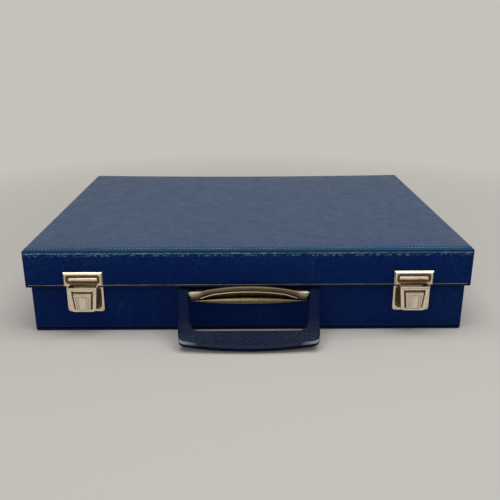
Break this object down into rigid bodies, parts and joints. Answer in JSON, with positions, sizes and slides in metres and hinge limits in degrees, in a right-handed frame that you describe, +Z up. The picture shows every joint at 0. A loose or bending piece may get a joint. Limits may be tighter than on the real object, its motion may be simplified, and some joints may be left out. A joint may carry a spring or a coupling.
{
  "type": "tabletop game travel case",
  "caption": "Flat leathercloth carrying case with a hinged lid, two press latches and a swinging handle, holding two peg boards, a fleet of ships and marker pegs.",
  "frame": {"origin": "middle of the base's underside, on the surface that the closed case rests on", "axes": "+X to the right as the handle is seen, +Y from the handle to the hinges, +Z up through the lid"},
  "size_m": [0.4, 0.3579, 0.08],
  "materials": {
    "navy_leathercloth": "fine leather grain, satin",
    "band_leathercloth": "fine leather grain, satin, lighter from wear",
    "edge_cord": "pale grey bound edge",
    "case_board": "raw fibre board",
    "navy_moulding": "moulded leather grain, satin",
    "nickel": "polished nickel plate, warm",
    "steel": "plain zinc-plated steel",
    "board_blue": "moulded, satin",
    "liner_wood": "plain softwood",
    "ship_grey": "moulded, satin",
    "peg_white": "moulded, satin",
    "peg_red": "moulded, satin"
  },
  "bodies": {
    "base": {"base_bottom_panel": "navy_leathercloth", "base_wall_cover": "navy_leathercloth", "base_wall_frame": "case_board", "bay_divider_cross": "liner_wood", "bay_divider_long": "liner_wood", "handle_backing_strip": "steel", "handle_bracket": "nickel", "hinge_base_leaves": "steel", "hinge_base_rivets": "steel", "hinge_pins": "steel", "latch_back_plate_left": "nickel", "latch_back_plate_right": "nickel", "latch_housing_left": "nickel", "latch_housing_right": "nickel", "latch_rivets": "nickel", "latch_spring_left": "steel", "latch_spring_right": "steel", "ocean_board": "board_blue", "ocean_board_cleats": "liner_wood", "red_pegs": "peg_red", "ship_battleship": "ship_grey", "ship_carrier": "ship_grey", "ship_cruiser": "ship_grey", "ship_patrol_boat": "ship_grey", "ship_submarine": "ship_grey", "stay_guide_left": "steel", "stay_guide_right": "steel", "white_pegs": "peg_white"},
    "lid": {"hinge_lid_leaves": "steel", "hinge_lid_rivets": "steel", "latch_keeper_left": "nickel", "latch_keeper_right": "nickel", "lid_edge_binding": "edge_cord", "lid_front_band": "band_leathercloth", "lid_stay_left": "steel", "lid_stay_right": "steel", "lid_top_panel": "navy_leathercloth", "lid_wall_cover": "navy_leathercloth", "lid_wall_frame": "case_board", "target_board": "board_blue", "target_board_blocks": "liner_wood"},
    "handle": {"handle_loop": "navy_moulding", "handle_pivot_pins": "steel"},
    "latch_button_left": {"latch_button_left": "nickel", "latch_catch_left": "steel"},
    "latch_button_right": {"latch_button_right": "nickel", "latch_catch_right": "steel"}
  },
  "joints": [
    {"name": "lid_hinge", "type": "hinge", "parent": "base", "child": "lid", "pos_m": [0, 0.1557, 0.0443], "axis": [-1, 0, 0], "range_deg": [0, 90]},
    {"name": "handle_swing", "type": "hinge", "parent": "base", "child": "handle", "pos_m": [0, -0.1607, 0.0396], "axis": [1, 0, 0], "range_deg": [-115, 45]},
    {"name": "latch_press_left", "type": "slide", "parent": "base", "child": "latch_button_left", "axis": [0, 1, 0], "range_m": [0, 0.0012], "stiffness_N_per_m": 1500, "deforming": ["latch_spring_left"]},
    {"name": "latch_press_right", "type": "slide", "parent": "base", "child": "latch_button_right", "axis": [0, 1, 0], "range_m": [0, 0.0012], "stiffness_N_per_m": 1500, "deforming": ["latch_spring_right"]}
  ]
}
